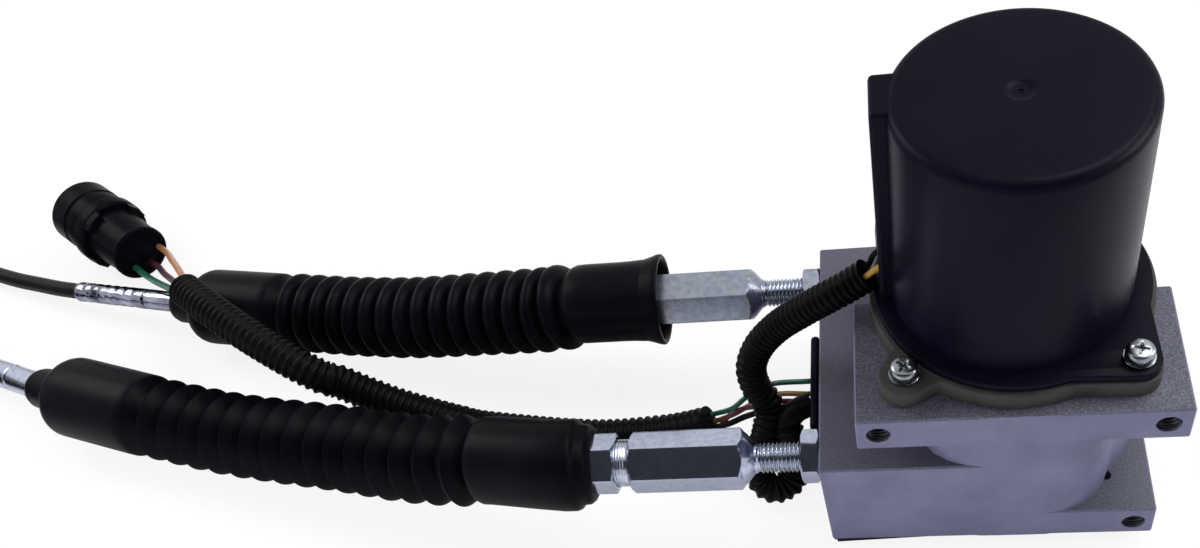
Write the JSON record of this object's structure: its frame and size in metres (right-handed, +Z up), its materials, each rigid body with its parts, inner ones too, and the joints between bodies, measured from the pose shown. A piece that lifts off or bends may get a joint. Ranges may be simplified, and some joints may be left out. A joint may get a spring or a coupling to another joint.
{
  "type": "engine governor actuator",
  "caption": "Geared motor on a cast housing turns a cable drum and moves push-pull control cables with rubber boots and a plug harness.",
  "frame": {"origin": "on the bottom cover's flat face, under the motor's axis", "axes": "+Z up along the motor's axis, the cables leave the housing towards -X, and the flat bolting faces look towards -Y"},
  "size_m": [0.6968, 0.2116, 0.1704],
  "materials": {
    "cast_aluminium": "die cast, shot blasted",
    "adaptor_grey": "matte cast",
    "black_plastic": "satin moulded",
    "black_rubber": "matte",
    "zinc_steel": "bright zinc plated",
    "plain_steel": "ground",
    "bronze": "sintered",
    "copper": "wound",
    "ferrite": "sintered",
    "gasket_black": "matte",
    "wire_orange": "insulation",
    "wire_dark": "insulation",
    "wire_green": "insulation",
    "wire_yellow": "insulation",
    "wire_maroon": "insulation"
  },
  "bodies": {
    "root": {"housing": "cast_aluminium", "bottom_gasket": "gasket_black", "bottom_cover": "black_plastic", "base_screw_1": "zinc_steel", "base_screw_2": "zinc_steel", "angle_sensor": "black_plastic", "bearing_plate": "plain_steel", "lower_bush": "bronze", "upper_bush": "bronze", "counter_axle": "plain_steel", "motor_adaptor": "adaptor_grey", "motor_can": "plain_steel", "magnet_ring": "ferrite", "motor_bearing": "bronze", "brush_holder": "black_plastic", "motor_cover": "black_plastic", "cover_screw_front": "zinc_steel", "cover_screw_rear": "zinc_steel", "adaptor_screw_front": "zinc_steel", "adaptor_screw_rear": "zinc_steel", "lock_nut_front": "zinc_steel", "adjuster_front": "zinc_steel", "boot_nut_front": "zinc_steel", "boot_front": "black_rubber", "ferrule_front": "zinc_steel", "conduit_front": "black_rubber", "conduit_coil_front": "black_rubber", "end_sleeve_front": "zinc_steel", "end_rod_front": "plain_steel", "lock_nut_rear": "zinc_steel", "adjuster_rear": "zinc_steel", "boot_nut_rear": "zinc_steel", "boot_rear": "black_rubber", "ferrule_rear": "zinc_steel", "conduit_rear": "black_rubber", "conduit_coil_rear": "black_rubber", "end_sleeve_rear": "zinc_steel", "end_rod_rear": "plain_steel", "main_loom": "black_plastic", "loop_loom": "black_plastic", "connector_shell": "black_plastic", "connector_insert": "black_plastic", "connector_collar": "black_plastic", "side_plate": "black_plastic", "plug_wire_orange": "wire_orange", "plug_wire_dark": "wire_dark", "plug_wire_green": "wire_green", "side_wire_green": "wire_green", "side_wire_ochre": "wire_yellow", "side_wire_maroon": "wire_maroon"},
    "drum": {"output_shaft": "plain_steel", "cable_drum": "cast_aluminium", "output_gear": "plain_steel"},
    "counter": {"counter_gear": "plain_steel"},
    "rotor": {"motor_shaft": "plain_steel", "motor_pinion": "plain_steel", "armature": "copper", "commutator": "copper"},
    "rod_front": {"pull_rod_front": "plain_steel"},
    "rod_rear": {"pull_rod_rear": "plain_steel"}
  },
  "joints": [
    {"name": "drum_turn", "type": "hinge", "parent": "root", "child": "drum", "pos_m": [0, 0.0014, 0.0426], "axis": [0, 0, 1], "range_deg": [-25, 25]},
    {"name": "counter_turn", "type": "hinge", "parent": "root", "child": "counter", "pos_m": [0.02079, 0.0007, 0.07], "axis": [0, 0, 1], "range_deg": [-85, 85]},
    {"name": "rotor_turn", "type": "hinge", "parent": "root", "child": "rotor", "pos_m": [0, 0, 0.1], "axis": [0, 0, 1], "range_deg": [-280, 280]},
    {"name": "front_rod_slide", "type": "slide", "parent": "root", "child": "rod_front", "axis": [1, 0, 0], "range_m": [-0.0171, 0.0171]},
    {"name": "rear_rod_slide", "type": "slide", "parent": "root", "child": "rod_rear", "axis": [1, 0, 0], "range_m": [-0.0171, 0.0171]}
  ],
  "couplings": [
    {"joint": "counter_turn", "follows": "drum_turn", "ratio": -3.3333},
    {"joint": "rotor_turn", "follows": "drum_turn", "ratio": 11.111},
    {"joint": "front_rod_slide", "follows": "drum_turn", "m_per_rad": 0.0389},
    {"joint": "rear_rod_slide", "follows": "drum_turn", "m_per_rad": -0.0389}
  ]
}
